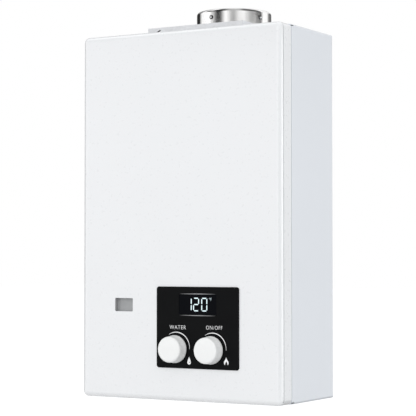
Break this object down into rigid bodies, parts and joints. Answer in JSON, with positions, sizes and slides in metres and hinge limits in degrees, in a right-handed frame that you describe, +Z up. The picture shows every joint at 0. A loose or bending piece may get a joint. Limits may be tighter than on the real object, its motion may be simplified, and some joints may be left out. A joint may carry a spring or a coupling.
{
  "type": "tankless water heater",
  "caption": "White wall-hung gas tankless water heater with a black control panel, knobs, a digital display, a sight window, a round flue collar and pipe connections below.",
  "frame": {"origin": "centre of the wall screw pattern, on the wall's face", "axes": "+Z up, +Y into the wall, so the front faces -Y, +X to the right seen from the front"},
  "size_m": [0.344, 0.1918, 0.589],
  "materials": {
    "cover_white": "smooth white enamel",
    "casing_grey": "light grey powder coat",
    "zinc_sheet": "galvanised sheet",
    "stainless": "polished stainless sheet",
    "screw_steel": "bright steel",
    "panel_black": "black moulding, half gloss",
    "lens_dark": "dark clear plastic",
    "knob_white": "white moulding",
    "black_plastic": "black moulding",
    "sleeve_grey": "grey moulding",
    "ivory_plastic": "ivory moulding",
    "board_green": "coated circuit board",
    "glass": "clear flat glass",
    "brass": "turned brass",
    "copper": "copper",
    "aluminium": "cast or pressed aluminium",
    "motor_steel": "dark coated motor shell",
    "rubber": "moulded rubber",
    "ceramic": "white electrode ceramic"
  },
  "bodies": {
    "casing": {"rear_casing": "casing_grey", "front_cover": "cover_white", "cover_screws": "screw_steel", "connection_plate": "zinc_sheet", "control_panel": "panel_black", "display_lens": "lens_dark", "display_module": "black_plastic", "display_board": "board_green", "display_screws": "screw_steel", "sight_glass": "glass", "sight_glass_frame": "sleeve_grey", "flue_collar": "stainless", "flue_collar_screws": "screw_steel", "fan_housing": "zinc_sheet", "fan_scroll": "zinc_sheet", "fan_motor": "motor_steel", "smoke_hood": "zinc_sheet", "pressure_switch": "ivory_plastic", "combustion_jacket": "copper", "fin_stack": "copper", "fin_tubes": "copper", "jacket_coil": "copper", "overheat_thermostat": "ivory_plastic", "jacket_brackets": "zinc_sheet", "burner_tray": "zinc_sheet", "burner_blades": "stainless", "gas_manifold": "aluminium", "gas_injectors": "brass", "ignition_electrode": "ceramic", "flame_sensor": "ceramic", "gas_valve_body": "aluminium", "gas_solenoid": "black_plastic", "gas_inlet_fitting": "brass", "gas_pipe": "aluminium", "water_valve_body": "brass", "diaphragm_cup": "brass", "diaphragm_cover": "brass", "cold_inlet_fitting": "brass", "hot_outlet_fitting": "brass", "cold_riser_pipe": "copper", "hot_outlet_pipe": "copper", "controller_box": "black_plastic", "igniter_box": "black_plastic", "power_gland": "black_plastic"},
    "water_control": {"water_knob": "knob_white", "water_spindle": "brass"},
    "gas_control": {"gas_knob": "knob_white", "gas_spindle": "brass"},
    "water_needle": {"water_needle": "brass"},
    "gas_needle": {"gas_needle": "brass"},
    "fan_rotor": {"fan_impeller": "aluminium", "fan_shaft": "screw_steel"},
    "diaphragm_rod": {"diaphragm": "rubber", "linkage_rod": "screw_steel"},
    "plunger": {"solenoid_plunger": "screw_steel"},
    "drain_plug": {"drain_plug": "black_plastic"}
  },
  "joints": [
    {"name": "water_knob_turn", "type": "hinge", "parent": "casing", "child": "water_control", "pos_m": [-0.0035, -0.17, -0.1985], "axis": [0, -1, 0], "range_deg": [-60, 60]},
    {"name": "gas_knob_turn", "type": "hinge", "parent": "casing", "child": "gas_control", "pos_m": [0.058, -0.17, -0.1985], "axis": [0, -1, 0], "range_deg": [-60, 60]},
    {"name": "water_needle_slide", "type": "slide", "parent": "casing", "child": "water_needle", "axis": [0, -1, 0], "range_m": [-0.002, 0.002]},
    {"name": "gas_needle_slide", "type": "slide", "parent": "casing", "child": "gas_needle", "axis": [0, -1, 0], "range_m": [-0.002, 0.002]},
    {"name": "fan_spin", "type": "hinge", "parent": "casing", "child": "fan_rotor", "pos_m": [-0.015, -0.134, 0.2275], "axis": [0, -1, 0], "continuous": true},
    {"name": "diaphragm_slide", "type": "slide", "parent": "casing", "child": "diaphragm_rod", "axis": [1, 0, 0], "range_m": [0, 0.003], "stiffness_N_per_m": 80, "springref_m": -0.002},
    {"name": "plunger_slide", "type": "slide", "parent": "casing", "child": "plunger", "axis": [1, 0, 0], "range_m": [0, 0.003], "stiffness_N_per_m": 80, "springref_m": -0.002},
    {"name": "drain_plug_turn", "type": "hinge", "parent": "casing", "child": "drain_plug", "pos_m": [-0.0355, -0.078, -0.259], "axis": [0, 0, -1], "range_deg": [0, 360]}
  ],
  "couplings": [
    {"joint": "water_knob_turn", "follows": "water_needle_slide", "rad_per_m": 515},
    {"joint": "gas_knob_turn", "follows": "gas_needle_slide", "rad_per_m": 515}
  ]
}
